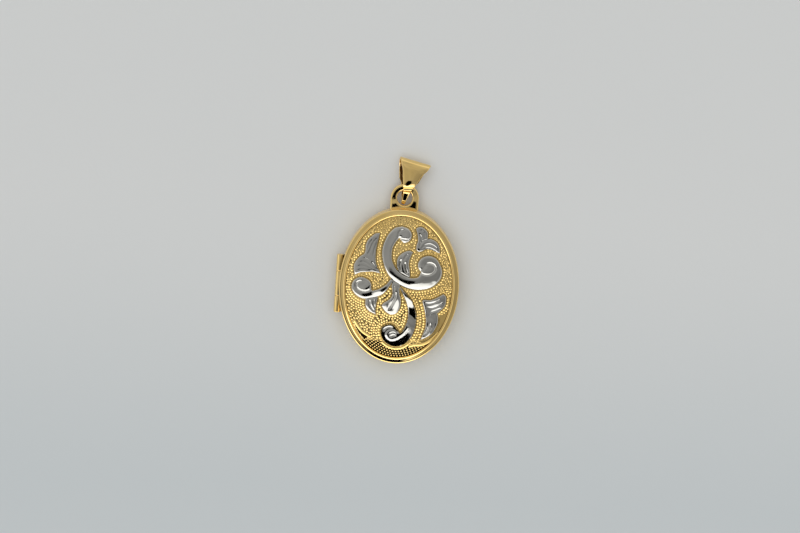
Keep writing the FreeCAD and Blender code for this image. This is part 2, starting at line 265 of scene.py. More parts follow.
def make_world():
    """What the metal mirrors: a dim uneven ceiling, a window, bright low walls and the dark lens."""
    world = bpy.data.worlds.new("soft_studio")
    bpy.context.scene.world = world
    world.use_nodes = True
    tree = world.node_tree
    direction = add_node(tree, "ShaderNodeTexCoord").outputs["Generated"]
    x, y, z = add_node(tree, "ShaderNodeSeparateXYZ", None, {"Vector": direction}).outputs
    height = calculate(tree, "MAXIMUM", z, 0.02)
    slope_x = calculate(tree, "DIVIDE", x, height)
    slope_y = calculate(tree, "DIVIDE", y, height)

    def plus(first, second):
        return calculate(tree, "ADD", first, second)

    def times(first, second):
        return calculate(tree, "MULTIPLY", first, second)

    # The ceiling is brighter behind and to the left, with soft patches.
    patches = add_node(tree, "ShaderNodeTexNoise", None, {"Vector": direction, "Scale": 4.0, "Detail": 1.5})
    ceiling = spread(tree, patches.outputs["Fac"], 0.25, 0.41)
    towards = calculate(tree, "SUBTRACT", y, times(x, 0.7))
    ceiling = plus(ceiling, times(fade(tree, towards, -0.5, 0.4), 0.2))

    # The walls below it are brighter, less so behind.
    walls = times(fade(tree, z, 0.68, 0.42), fade(tree, z, 0.0, 0.2))
    walls = times(walls, calculate(tree, "SUBTRACT", 0.50, times(y, 0.20)))

    # The window stands on the near side, mostly to the left.
    near = times(slope_y, -1.0)
    sideways = calculate(tree, "DIVIDE", slope_x, calculate(tree, "MAXIMUM", near, 0.05))
    window = times(fade(tree, sideways, -2.2, -1.5), fade(tree, sideways, 0.9, 0.4))
    window = times(window, fade(tree, near, 0.38, 0.5))
    window = times(window, fade(tree, z, 0.16, 0.3))

    # The lens and the hands that hold it, a little to the near side of straight up.
    lens_x = calculate(tree, "DIVIDE", plus(slope_x, 0.03), 0.15)
    lens_y = calculate(tree, "DIVIDE", plus(slope_y, 0.29), 0.21)
    beside_lens = fade(tree, plus(times(lens_x, lens_x), times(lens_y, lens_y)), 0.88, 1.15)

    window_strength = 1.7
    room = plus(plus(ceiling, walls), times(window, window_strength))
    room = times(room, beside_lens)
    glossy = add_node(tree, "ShaderNodeLightPath").outputs["Is Glossy Ray"]
    light = add_node(tree, "ShaderNodeMix", {"data_type": "FLOAT"}, {0: glossy, 2: 0.46, 3: room}).outputs[0]
    background = tree.nodes["Background"]
    tree.links.new(light, background.inputs["Strength"])
    background.inputs["Color"].default_value = (1.0, 1.0, 1.0, 1)


def make_overhead():
    """A broad light straight above that only the matt things see, so that shadows stay close and faint."""
    data = bpy.data.lights.new("overhead", "SUN")
    data.energy = 1.06
    data.angle = math.radians(70)
    lamp = bpy.data.objects.new("overhead", data)
    lamp.rotation_euler = (math.radians(-8), math.radians(-4), 0)
    lamp.visible_glossy = False
    bpy.context.scene.collection.objects.link(lamp)


# ---------------- mesh helpers

def mesh_piece(name, points, faces, material, sharp=35.0):
    """A mesh object from points in millimetres, smooth but for its edges."""
    mesh = bpy.data.meshes.new(name)
    mesh.from_pydata((np.asarray(points, float) * MM).tolist(), [], [list(face) for face in faces])
    shape = bmesh.new()
    shape.from_mesh(mesh)
    bmesh.ops.remove_doubles(shape, verts=shape.verts, dist=0.0005 * MM)
    bmesh.ops.recalc_face_normals(shape, faces=shape.faces)
    shape.to_mesh(mesh)
    shape.free()
    mesh.shade_smooth()
    mesh.set_sharp_from_angle(angle=math.radians(sharp))
    mesh.materials.append(material)
    piece = bpy.data.objects.new(name, mesh)
    bpy.context.scene.collection.objects.link(piece)
    return piece


def paint_shade_on_faces(piece, material, faces):
    """Gives some faces of a piece another material, a darker one that paints shade on them."""
    piece.data.materials.append(material)
    for face in faces:
        piece.data.polygons[face].material_index = 1


def fit(piece, body, slot, *nodes):
    """Attaches a piece to the body it rides on and hides the CAD nodes that it stands for. Its finish, the
    slot, is not used.
    """
    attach(piece, body)
    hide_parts(*nodes)
    return piece


def skin(loops, closed=True):
    """Points and faces through loops of equal length, closed into a ring or capped at both ends."""
    count = len(loops[0])
    points = [point for loop in loops for point in loop]
    faces = []
    rows = len(loops)
    for row in range(rows if closed else rows - 1):
        here = row * count
        there = (row + 1) % rows * count
        for step in range(count):
            after = (step + 1) % count
            faces.append((here + step, here + after, there + after, there + step))
    if not closed:
        for start in (0, (rows - 1) * count):
            centre = len(points)
            points.append(np.mean(points[start:start + count], axis=0))
            faces += [(start + step, start + (step + 1) % count, centre) for step in range(count)]
    return points, faces


def merged(parts):
    """Several (points, faces) sets as one."""
    points = []
    faces = []
    for more_points, more_faces in parts:
        shift = len(points)
        points += list(more_points)
        faces += [tuple(index + shift for index in face) for face in more_faces]
    return points, faces


def rounded(corners, steps=4):
    """An outline whose corners, given as (x, y, radius), are rounded off."""
    outline = []
    for index, (x, y, radius) in enumerate(corners):
        corner = np.array((x, y), float)
        if radius == 0:
            outline.append(corner)
            continue
        before = np.array(corners[index - 1][:2]) - corner
        after = np.array(corners[(index + 1) % len(corners)][:2]) - corner
        start = corner + before * min(radius / np.linalg.norm(before), 0.5)
        end = corner + after * min(radius / np.linalg.norm(after), 0.5)
        for step in range(steps + 1):
            part = step / steps
            outline.append((1 - part) ** 2 * start + 2 * part * (1 - part) * corner + part ** 2 * end)
    return outline


def full_turn(count):
    """Evenly spaced angles round a circle."""
    return np.arange(count) * 2 * math.pi / count


def oval_loop(inset, height, count=256):
    """The case outline moved inwards by inset, at a height."""
    turns = full_turn(count)
    return np.column_stack((
        (half_width - inset) * np.cos(turns),
        (half_height - inset) * np.sin(turns),
        np.full(count, height),
    ))


def oval_skin(profile, closed=True):
    """The surface swept round the oval by a profile of (inset, height) points."""
    return skin([oval_loop(inset, height) for inset, height in profile], closed)


def smooth_line(points, spacing):
    """A smooth curve through points, as points about a spacing apart."""
    points = np.array(points, float)
    steps = np.linalg.norm(np.diff(points, axis=0), axis=1)
    knots = np.concatenate(([0], np.cumsum(steps)))
    slopes = np.gradient(points, knots, axis=0)
    marks = np.linspace(0, knots[-1], max(2, round(knots[-1] / spacing) + 1))
    span = np.clip(np.searchsorted(knots, marks, side="right") - 1, 0, len(steps) - 1)
    width = steps[span][:, None]
    t = ((marks - knots[span]) / steps[span])[:, None]
    return (
        (2 * t ** 3 - 3 * t ** 2 + 1) * points[span]
        + (t ** 3 - 2 * t ** 2 + t) * width * slopes[span]
        + (3 * t ** 2 - 2 * t ** 3) * points[span + 1]
        + (t ** 3 - t ** 2) * width * slopes[span + 1]
    )


def closed_outline(runs, spacing):
    """A closed outline, smooth along each run of points, with a tip where the next run begins."""
    following = runs[1:] + runs[:1]
    return np.vstack([smooth_line(run + after[:1], spacing)[:-1] for run, after in zip(runs, following)])


def inside(loop, points):
    """Which points lie inside a closed outline."""
    x, y = points.T
    found = np.zeros(len(points), bool)
    for (ax, ay), (bx, by) in zip(loop, np.roll(loop, -1, axis=0)):
        if ay == by:
            continue
        crossing = ax + (y - ay) / (by - ay) * (bx - ax)
        found ^= ((ay > y) != (by > y)) & (x < crossing)
    return found


def distance_to(line, points):
    """Each point's distance to the nearest point of a line."""
    nearest = np.full(len(points), 1e9)
    for spot in line:
        nearest = np.minimum(nearest, np.hypot(points[:, 0] - spot[0], points[:, 1] - spot[1]))
    return nearest


def outward(outline):
    """The unit direction away from a closed outline at each of its points."""
    ahead = np.roll(outline, -1, axis=0) - np.roll(outline, 1, axis=0)
    ahead /= np.maximum(np.linalg.norm(ahead, axis=1), 1e-9)[:, None]
    x, y = outline.T
    area = np.sum(x * np.roll(y, -1) - np.roll(x, -1) * y)
    return math.copysign(1, area) * np.column_stack((ahead[:, 1], -ahead[:, 0]))


def facing(outline, points):
    """The outward direction of the nearest part of a closed outline, for each point."""
    nearest = np.full(len(points), 1e9)
    found = np.zeros((len(points), 2))
    for spot, direction in zip(outline, outward(outline)):
        reach = np.hypot(points[:, 0] - spot[0], points[:, 1] - spot[1])
        closer = reach < nearest
        nearest[closer] = reach[closer]
        found[closer] = direction
    return found


def eased(value, start, end):
    """0 before start, 1 after end and smooth between."""
    part = np.clip((np.asarray(value, float) - start) / (end - start), 0, 1)
    return part * part * (3 - 2 * part)


# ---------------- case halves

ridge_inset = 0.69
ridge_width = 0.27
panel_inset = ridge_inset + ridge_width / 2 + 0.02


def cover_profile():
    low = cover_low[2]
    bevel = smooth_line([
        (0, 2.8), (0.004, 3.0), (0.015, 3.14), (0.035, 3.235), (0.065, 3.3), (0.1, 3.34),
        (0.14, 3.362), (0.3, 3.384), (ridge_inset - ridge_width / 2, 3.415),
    ], 0.02)
    ridge = [(ridge_inset + ridge_width * part, 3.42 + rise) for part, rise in (
        (-0.49, 0.002), (-0.4, 0.014), (-0.2, 0.048), (-0.08, 0.065), (0.0, 0.069),
        (0.08, 0.065), (0.2, 0.048), (0.4, 0.014), (0.49, 0.002))]
    inner = rounded([
        (panel_inset + 0.01, panel_low[2], 0),
        (1.4, panel_low[2], 0.03),
        (1.4, 2.95, 0.03),
        (0.45, 2.95, 0.1),
        (0.25, 2.78, 0.1),
        (0.25, low, 0.05),
        (0.0, low, 0.05),
    ])
    return [tuple(point) for point in bevel] + ridge + [tuple(point) for point in inner]


def back_profile():
    """From the centre of the outside round the rim to the centre of the inside."""
    wall = 0.3
    flat_inset = 2.3
    curve = 1.0
    outside = []
    inside_curve = []
    for degrees in range(0, 91, 6):
        turn = math.radians(degrees)
        inset = flat_inset * (1 - math.sin(turn))
        height = curve * (1 - math.cos(turn))
        outside.append((inset, height))
        inside_curve.append((inset + wall, height + wall))
    rim = rounded([(0, curve, 0), (0, split, 0.05), (wall, split, 0.05), (wall, curve + wall, 0)])
    return outside + [tuple(point) for point in rim[1:-1]] + inside_curve[::-1]


def hinge_rod(radius, start, end, count=48):
    """A closed rod on the hinge axis."""
    return skin([hinge_circle(radius, along, count) for along in (start, end)], closed=False)


def hinge_circle(radius, along, count=48):
    turns = full_turn(count)
    return np.column_stack((
        hinge_x + radius * np.cos(turns),
        np.full(count, along),
        hinge_z + radius * np.sin(turns),
    ))


def nail_ball():
    """The ball that presses the thumbnail dimple across the split."""
    radius = 1.2
    centre = np.array((half_width + radius - 0.12, 0, split))
    loops = []
    for degrees in range(5, 180, 5):
        turn = math.radians(degrees)
        spin = full_turn(72)
        loops.append(centre + radius * np.column_stack((
            np.full(72, -math.cos(turn)), math.sin(turn) * np.cos(spin), math.sin(turn) * np.sin(spin))))
    return skin(loops, closed=False)


def carve(piece, cutters):
    """Cuts closed shapes out of a piece."""
    tools = [mesh_piece("cutter", points, faces, piece.data.materials[0]) for points, faces in cutters]
    for tool in tools:
        modifier = piece.modifiers.new("cut", "BOOLEAN")
        modifier.operation = "DIFFERENCE"
        modifier.solver = "EXACT"
        modifier.object = tool
    graph = bpy.context.evaluated_depsgraph_get()
    carved = bpy.data.meshes.new_from_object(piece.evaluated_get(graph))
    piece.modifiers.clear()
    piece.data = carved
    carved.shade_smooth()
    carved.set_sharp_from_angle(angle=math.radians(35))
    for tool in tools:
        bpy.data.objects.remove(tool)


hinge = joint_named("cover_hinge")
hinge_x, hinge_y, hinge_z = (value / MM for value in hinge["pos_m"])
knuckle_radius = hinge_x - cad_size("hinge_knuckle_upper")[0][0]
knuckle_clearance = 0.5
knuckle_gap = 0.05


def clearance(node):
    """The round space that lets a knuckle of the other half turn."""
    low, high = cad_size(node)
    return hinge_rod(knuckle_clearance, low[1] - knuckle_gap, high[1] + knuckle_gap)


def beside_hinge(piece, reach=knuckle_clearance * 1.02):
    """The faces of a piece that are near the hinge axis, such as those of the knuckles' round space."""
    found = []
    for face in piece.data.polygons:
        x, y, z = face.center / MM
        if math.hypot(x - hinge_x, z - hinge_z) < reach and abs(y - hinge_y) < 3.9:
            found.append(face.index)
    return found


def make_cover(gold, hinge_shade):
    points, faces = oval_skin(cover_profile())
    cover = mesh_piece("cover", points, faces, gold)
    carve(cover, [clearance("hinge_knuckle_upper"), clearance("hinge_knuckle_lower"), nail_ball()])
    # Painted shade: the cover's faces round the hinge get a dark grey-brown colour for the shade in the gaps
    # by the knuckles.
    paint_shade_on_faces(cover, hinge_shade, beside_hinge(cover, 0.85))
    fit(cover, "cover", "gold", "front_shell")


def make_back(gold, hinge_shade):
    points, faces = oval_skin(back_profile(), closed=False)
    back = mesh_piece("back", points, faces, gold)
    carve(back, [clearance("hinge_knuckle_middle"), nail_ball()])
    # Painted shade: the back's faces round the hinge get a dark grey-brown colour for the shade in the gap
    # by the middle knuckle.
    paint_shade_on_faces(back, hinge_shade, beside_hinge(back))
    fit(back, "back", "gold", "back_shell")


# ---------------- rims, cards, windows and frames

def make_rims(gold, hinge_shade):
    collar = rounded([
        (0.52, 2.35, 0.06), (0.3, 2.35, 0.06), (0.3, 1.3, 0.02), (1.2, 1.3, 0.03),
        (1.2, 1.45, 0.03), (0.52, 1.45, 0.03),
    ])
    bezel = rounded([
        (0.65, 2.05, 0.05), (0.65, 2.95, 0.02), (1.35, 2.95, 0.03), (1.35, 2.8, 0.03),
        (0.85, 2.8, 0.03), (0.85, 2.05, 0.05),
    ])
    rim = mesh_piece("collar", *oval_skin(collar), gold)
    carve(rim, [hinge_rod(knuckle_clearance, hinge_y - 3.7, hinge_y + 3.7)])
    # Painted shade: the collar's faces round the hinge get a dark grey-brown colour for the shade in the
    # gaps by the knuckles.
    paint_shade_on_faces(rim, hinge_shade, beside_hinge(rim, 0.95))
    fit(rim, "back", "gold", "back_collar")
    fit(mesh_piece("bezel", *oval_skin(bezel), gold), "cover", "gold", "front_bezel")


def flat_oval(inset, low, high, edge):
    """A plate with rounded edges."""
    outline = rounded([(inset, low, edge), (inset, high, edge)])
    profile = [(half_width - 0.4, low)] + [tuple(point) for point in outline] + [(half_width - 0.4, high)]
    return oval_skin(profile, closed=False)


def frame_profile(node, width=0.8):
    """A picture frame's section: flat against the window and crowned on the side that shows."""
    low, high = cad_size(node)
    inset = half_width - high[0]
    base, top = (low[2], high[2]) if node.startswith("back") else (high[2], low[2])
    rise = top - base
    section = [(inset, base), (inset, base + rise * 0.45)]
    for step in range(1, 10):
        turn = math.pi * step / 10
        across = inset + width / 2 * (1 - math.cos(turn))
        section.append((across, base + rise * (0.45 + 0.55 * math.sin(turn))))
    section += [(inset + width, base + rise * 0.45), (inset + width, base)]
    return section


def make_pictures(brushed, clear, card):
    for side, body in (("back", "back"), ("front", "cover")):
        for thing, material, slot in (("photo_card", card, "card"), ("window", clear, "window")):
            node = side + "_" + thing
            low, high = cad_size(node)
            inset = half_width - high[0]
            shape = flat_oval(inset, low[2] + 0.005, high[2] - 0.005, 0.03)
            fit(mesh_piece(node + "_shown", *shape, material), body, slot, node)
        node = side + "_photo_frame"
        shape = oval_skin(frame_profile(node))
        fit(mesh_piece(side + "_frame", *shape, brushed), body, "photo_frame", node)


# ---------------- hinge

def knuckle_tube(node, bore):
    """A tube on the hinge axis with broken edges."""
    low, high = cad_size(node)
    profile = rounded([
        (bore, low[1], 0.03), (knuckle_radius, low[1], 0.07),
        (knuckle_radius, high[1], 0.07), (bore, high[1], 0.03),
    ])
    return skin([hinge_circle(radius, along) for radius, along in profile])


def leaf(start, end, low, high, reach):
    """The small plate that joins a knuckle to the case wall."""
    end_x = hinge_x + reach
    section = rounded([(hinge_x, low, 0.05), (end_x, low, 0.05), (end_x, high, 0.05), (hinge_x, high, 0.05)])
    loops = [np.array([(x, along, z) for x, z in section]) for along in (start, end)]
    return skin(loops, closed=False)


def make_hinge(gold, hinge_shade):
    thickness = 0.22
    for node, body, bore in (
        ("hinge_knuckle_upper", "back", 0.20),
        ("hinge_knuckle_lower", "back", 0.20),
        ("hinge_knuckle_middle", "cover", 0.22),
    ):
        low, high = cad_size(node)
        reach = high[0] - hinge_x - 0.02
        base = high[2] - thickness if body == "cover" else split - thickness - 0.03
        tube = knuckle_tube(node, bore)
        plate = leaf(low[1] + 0.05, high[1] - 0.05, base, base + thickness, reach)
        knuckle = mesh_piece(node + "_shown", *merged([tube, plate]), gold)
        # Painted shade: each knuckle's leaf plate gets a dark grey-brown colour for the shade between
        # knuckle and case wall.
        paint_shade_on_faces(knuckle, hinge_shade, range(len(tube[1]), len(knuckle.data.polygons)))
        fit(knuckle, body, "gold", node)
    low, high = cad_size("hinge_pin")
    profile = [(0.09, low[1]), (0.15, low[1] + 0.02), (0.195, low[1] + 0.08),
               (0.195, high[1] - 0.08), (0.15, high[1] - 0.02), (0.09, high[1])]
    pin = skin([hinge_circle(radius, along, 32) for radius, along in profile], closed=False)
    fit(mesh_piece("pin", *pin, gold), "back", "gold", "hinge_pin")


# ---------------- bail eye

def eye_edge(turns, radius, half, foot):
    """The eye's round top, straight sides and foot, as distances from the hole's centre."""
    shoulder = math.sqrt(radius ** 2 - half ** 2)
    sideways = half / np.maximum(np.abs(np.cos(turns)), 1e-6)
    downwards = foot / np.maximum(-np.sin(turns), 1e-6)
    return np.where(radius * np.sin(turns) > -shoulder, radius, np.minimum(sideways, downwards))


def make_eye(gold):
    """The eye's flat faces, rounded at its outer edge and its hole, and polished down in two spots."""
    low, high = cad_size("bail_eye")
    radius = 1.76
    centre_y = high[1] - radius
    hole = 0.96
    outer_edge = 0.26
    hole_edge = 0.2
    foot = centre_y - 9.48
    turns = full_turn(240)
    flat = [(2 + part, high[2], 0) for part in (0.2, 0.4, 0.6, 0.8)]
    section = rounded([(0, low[2], outer_edge), (0, high[2], outer_edge), *flat,
                       (5, high[2], hole_edge), (5, low[2], hole_edge)], 6)
    loops = []
    for part, height in section:
        if part < 1:
            reach = eye_edge(turns, radius - part, high[0] - part, foot)
        elif part > 4:
            reach = np.full(len(turns), hole + 5 - part)
        else:
            outer = eye_edge(turns, radius - outer_edge, high[0] - outer_edge, foot)
            reach = outer + (hole + hole_edge - outer) * (part - 2)
        x = reach * np.cos(turns)
        y = reach * np.sin(turns)
        lift = np.zeros(len(turns))
        for spot_x, spot_y, spot_width, depth in ((-1.35, -0.25, 0.3, 0.05), (1.55, 0.5, 0.5, 0.07)):
            lift += depth * np.exp(-((x - spot_x) ** 2 + (y - spot_y) ** 2) / spot_width ** 2)
        if height < low[2] + 0.3:
            lift *= 0
        loops.append(np.column_stack((x, centre_y + y, height - lift)))
    fit(mesh_piece("eye", *skin(loops), gold), "back", "gold", "bail_eye")


# ---------------- bail

bail_joint = joint_named("bail_swing")
across_bail = np.array(bail_joint["axis"], float)
along_bail = np.array((-across_bail[1], across_bail[0], 0.0))
barrel_u = 3.95
bail_strip = 0.27
bail_origin = np.array(mount_named("chain_bore")["pos_m"]) / MM - barrel_u * along_bail


def bail_half_width(u, w):
    """The strip tapers from its fold at the top to both of its ends."""
    front_u = (-1, 0, 0.4, 0.8, 1.2, 1.5, 1.9, 3.0, 3.9, 4.5, 5.3)
    front = np.interp(u, front_u, (0.16, 0.24, 0.28, 0.36, 0.42, 0.49, 0.64, 1.0, 1.3, 1.6, 1.95))
    back_u = (-1, 0, 0.6, 1.2, 1.7, 2.1, 2.6, 3.4, 5.3)
    back = np.interp(u, back_u, (0.16, 0.28, 0.4, 0.52, 0.62, 0.86, 1.24, 1.48, 1.98))
    share = eased(w, -0.2, 0.2)
    return share * front + (1 - share) * back


def bail_stations():
    """Outer and inner points (u, w, u, w) round the folded strip: tab, curl, back leg and barrel."""
    points = [
        (3.06, 1.068, 3.1, 0.81), (2.9, 1.079, 2.9, 0.82), (2.75, 1.08, 2.75, 0.82),
        (2.6, 1.076, 2.6, 0.82), (2.4, 1.06, 2.4, 0.8), (2.22, 1.035, 2.26, 0.79),
        (2.09, 1.01, 2.15, 0.77), (1.99, 0.975, 2.07, 0.75), (1.93, 0.915, 2.0, 0.7),
        (1.88, 0.84, 1.92, 0.65), (1.8, 0.785, 1.82, 0.61), (1.68, 0.79, 1.68, 0.58),
        (1.55, 0.785, 1.53, 0.54), (1.45, 0.73, 1.39, 0.45), (1.38, 0.61, 1.26, 0.33),
        (1.31, 0.51, 1.14, 0.23), (1.18, 0.455, 1.05, 0.19), (1.02, 0.425, 0.97, 0.16),
        (0.85, 0.402, 0.86, 0.13), (0.65, 0.375, 0.7, 0.11), (0.35, 0.34, 0.45, 0.07),
        (0.05, 0.29, 0.3, 0.04), (-0.25, 0.17, 0.2, 0.02), (-0.35, -0.04, 0.16, 0.0),
        (-0.2, -0.25, 0.2, -0.03), (0.5, -0.56, 0.6, -0.3), (1.2, -0.9, 1.2, -0.64),
        (2.0, -1.1, 2.0, -0.84), (2.5, -1.14, 2.5, -0.88), (3.2, -1.18, 3.25, -0.9),
        (4.0, -1.28, 4.0, -1.0), (4.55, -1.15, 4.4, -0.9), (4.98, -0.83, 4.75, -0.65),
        (5.22, -0.42, 4.95, -0.34), (5.29, 0.05, 5.02, 0.04), (5.22, 0.42, 4.95, 0.3),
        (5.03, 0.71, 4.77, 0.53), (4.74, 0.88, 4.52, 0.67), (4.42, 0.955, 4.3, 0.71),
        (4.05, 0.998, 4.0, 0.748), (3.65, 1.027, 3.65, 0.777), (3.3, 1.051, 3.3, 0.8),
    ]
    round_trip = smooth_line(points[-2:] + points + points[:2], 0.06)
    start = np.argmin(np.hypot(*(round_trip[:20, :2] - points[0][:2]).T))
    end = len(round_trip) - 20 + np.argmin(np.hypot(*(round_trip[-20:, :2] - points[0][:2]).T))
    return list(round_trip[start:end])


def bail_section(half):
    """The strip's section across its width: (across, share of the thickness)."""
    edge = min(0.07, half / 3)
    outer_face = [(half * part, bail_strip, 0) for part in (0.7, 0.4, 0.0, -0.4, -0.7)]
    inner_face = [(half * part, 0, 0) for part in (-0.7, -0.4, 0.0, 0.4, 0.7)]
    corners = [(half, 0, edge), (half, bail_strip, edge), *outer_face,
               (-half, bail_strip, edge), (-half, 0, edge), *inner_face]
    return [(across, depth / bail_strip) for across, depth in rounded(corners, 3)]


def make_bail(gold, bail_shade):
    """The strip leans a little to one side, and its front is crowned. Its inside is less polished and
    coloured darker: painted shade inside the fold.
    """
    section = bail_section(1.0)
    inner = [step for step in range(len(section)) if section[step][1] == section[step - 1][1] == 0]
    loops = []
    for outer_u, outer_w, inner_u, inner_w in bail_stations():
        loop = []
        for across, share in bail_section(bail_half_width(outer_u, outer_w)):
            u = inner_u + (outer_u - inner_u) * share
            w = inner_w + (outer_w - inner_w) * share
            front = eased(w, 0.1, 0.9)
            crown = 0.115 - 0.075 * eased(u, 2.4, 4.2)
            skew = 0.28 * across * front * (1 - eased(u, 3.0, 4.6))
            lean = 0.1 * w
            w += (1 - eased(w, -0.8, 0.0)) * 0.1 * across ** 2
            w -= front * crown * (across + 0.1) ** 2
            loop.append(bail_origin + (u + skew) * along_bail + (across + lean) * across_bail + w * UP)
        loops.append(loop)
    strip = mesh_piece("bail_loop", *skin(loops), gold)
    rows = range(0, len(strip.data.polygons), len(section))
    # Painted shade: the inside faces of the strip get a darker, rougher gold for the shade inside the fold.
    paint_shade_on_faces(strip, bail_shade, [row + step - 1 for row in rows for step in inner])
    fit(strip, "bail", "gold", "bail")


# ---------------- relief

panel_half_width = half_width - panel_inset
panel_half_height = half_height - panel_inset
panel_edge = 3.48
panel_rise = panel_high[2] - panel_edge


def ground(places):
    """The crowned face of the panel, flatter towards its rim than an ellipsoid."""
    x = places[:, 0] / panel_half_width
    y = places[:, 1] / panel_half_height
    return panel_edge + panel_rise * np.maximum(1 - x * x - y * y, 0) ** 1.3


def hex_grid(low, high, pitch):
    """Staggered points over a rectangle."""
    rows = []
    for row, y in enumerate(np.arange(low[1], high[1], pitch * math.sqrt(3) / 2)):
        xs = np.arange(low[0] + pitch / 2 * (row % 2), high[0], pitch)
        rows.append(np.column_stack((xs, np.full(len(xs), y))))
    return np.vstack(rows)


def triangulate(loop, filling):
    """Triangles inside a closed outline that also use the filling points."""
    count = len(loop)
    places = [Vector(place) for place in np.vstack((loop, filling)).tolist()]
    edges = [(index, (index + 1) % count) for index in range(count)]
    spots, _, faces, sources, _, _ = delaunay_2d_cdt(places, edges, [], 1, 1e-6)
    on_rim = np.array([min(source, default=0) < count for source in sources])
    return np.array([tuple(spot) for spot in spots]), np.array([tuple(face) for face in faces]), on_rim


def swell(places, triangles, on_rim):
    """Swelling like a soap film blown up from the rim. Over a long strip it is a half circle."""
    corners = places[triangles]
    sides = corners[:, (2, 0, 1)] - corners[:, (1, 2, 0)]
    doubled = sides[:, 0, 0] * sides[:, 1, 1] - sides[:, 0, 1] * sides[:, 1, 0]
    area = np.maximum(np.abs(doubled) / 2, 1e-9)
    count = len(places)
    stiffness = np.einsum("tid,tjd->tij", sides, sides) / (4 * area[:, None, None])
    rows = np.repeat(triangles, 3, axis=1).ravel()
    columns = np.tile(triangles, (1, 3)).ravel()
    values = stiffness.ravel()
    load = np.bincount(triangles.ravel(), np.repeat(area * 2 / 3, 3), count)
    free = ~on_rim
    diagonal = np.maximum(np.bincount(rows[rows == columns], values[rows == columns], count), 1e-12)
    film = np.zeros(count)
    residual = load * free
    search = residual / diagonal
    energy = residual @ search
    for _ in range(400):
        pull = np.bincount(rows, values * search[columns], count) * free
        step = energy / (search @ pull)
        film += step * search
        residual -= step * pull
        fresh = residual / diagonal
        before, energy = energy, residual @ fresh
        if energy < 1e-12:
            break
        search = fresh + energy / before * search
    return np.sqrt(np.maximum(film, 0))


def groove_depth(places, grooves):
    """How deep the listed grooves cut at each place. They fade out at both ends."""
    depth = np.zeros(len(places))
    for points, deep, wide in grooves:
        line = smooth_line(points, 0.04)
        part = np.linspace(0, 1, len(line))
        fading = np.minimum(eased(part, -0.02, 0.22), eased(part, 1.02, 0.78))
        cut = np.zeros(len(places))
        for spot, strength in zip(line, fading):
            reach = (places[:, 0] - spot[0]) ** 2 + (places[:, 1] - spot[1]) ** 2
            cut = np.maximum(cut, strength * np.exp(-reach / wide ** 2))
        depth += deep * cut
    return depth


def wall(first, second):
    """Faces between two rings of point numbers."""
    return list(zip(first, second, np.roll(second, -1).tolist(), np.roll(first, -1).tolist()))


def relief_shape(runs, height, softness, grooves=(), crest=None, leans=(), coil=None):
    """A closed cushion of metal over the crowned panel, inside an outline.

    It swells evenly, or rises from the outline to a crest line. Leans are places where the top is
    tilted: (x, y, reach, slope to the right, slope upwards). A coil is an outline inside which the
    top is a step higher."""
    pitch = 0.07
    foot_step = 0.035
    sink = 0.12
    coil_step = 0.09
    crest_share = 0.8
    loop = closed_outline(runs, pitch)
    spread_out = hex_grid(loop.min(0), loop.max(0), pitch)
    spread_out = spread_out[inside(loop, spread_out)]
    spread_out = spread_out[distance_to(loop, spread_out) > pitch * 0.55]
    places, triangles, on_rim = triangulate(loop, spread_out)
    rise = 1 - np.exp(-swell(places, triangles, on_rim) / softness)
    if crest is not None:
        edge = distance_to(loop, places)
        top = distance_to(smooth_line(crest, 0.04), places)
        near_side = eased(-facing(loop, places)[:, 1], 0.45, 0.85)
        fall = 3.5 * near_side + 8.0 * (1 - near_side)
        rise = (1 - crest_share) * rise + crest_share * (1 - (top / np.maximum(edge + top, 1e-6)) ** fall)
    rise[on_rim] = 0
    swelling = height * rise
    for x, y, reach, slope_x, slope_y in leans:
        dx = places[:, 0] - x
        dy = places[:, 1] - y
        share = np.exp(-(dx ** 2 + dy ** 2) / reach ** 2) * np.minimum(1, 2.5 * rise)
        swelling += share * (dx * slope_x + dy * slope_y)
    if coil is not None:
        coil_loop = closed_outline([coil], pitch)
        step_up = 1 - np.exp(-distance_to(coil_loop, places) / 0.07)
        swelling += coil_step * step_up * inside(coil_loop, places) * np.minimum(1, 2.5 * rise)
    swelling -= groove_depth(places, grooves) * np.minimum(1, rise * 1.6)
    top = np.column_stack((places, ground(places) + foot_step + np.maximum(swelling, 0)))
    under_places, under_faces, _ = triangulate(loop, np.zeros((0, 2)))
    under = np.column_stack((under_places, ground(under_places) - sink))
    shift = len(top)
    faces = [tuple(face) for face in triangles]
    faces += [tuple(shift + index for index in reversed(face)) for face in under_faces]
    rim = list(range(len(loop)))
    faces += wall(rim, [shift + index for index in rim])
    return list(top) + list(under), faces


main_scroll = [
    [(-0.1, 7.75), (-1.0, 7.5), (-1.6, 6.9), (-2.1, 6.0), (-2.4, 5.0), (-2.45, 4.2), (-2.3, 3.3),
     (-2.0, 2.4), (-1.5, 1.5), (-0.9, 0.9), (0.0, 0.35), (1.0, -0.05), (2.0, -0.2), (3.0, -0.1), (4.0, 0.2),
     (4.8, 0.8), (5.25, 1.6), (5.3, 2.4), (5.0, 3.2), (4.5, 3.9), (3.7, 4.25), (3.0, 4.2), (2.4, 3.8),
     (2.1, 3.2), (2.15, 2.6)],
    [(2.5, 2.1), (2.3, 1.6), (1.3, 1.4), (0.4, 1.7), (-0.5, 2.4), (-0.8, 2.9), (-1.05, 3.5), (-1.1, 4.2),
     (-1.0, 5.0), (-0.7, 5.6)],
    [(-0.35, 6.1), (0.2, 5.55), (0.9, 5.8), (1.25, 6.6), (0.85, 7.4)],
]
main_crest = [
    (0.3, 6.7), (-0.4, 6.9), (-1.1, 6.4), (-1.5, 5.6), (-1.7, 4.7), (-1.6, 3.7), (-1.2, 2.8), (-0.6, 2.05),
    (0.2, 1.45), (1.2, 1.05), (2.2, 1.15), (3.2, 1.35), (4.1, 1.9), (4.4, 2.7), (3.9, 3.5), (3.1, 3.5),
]
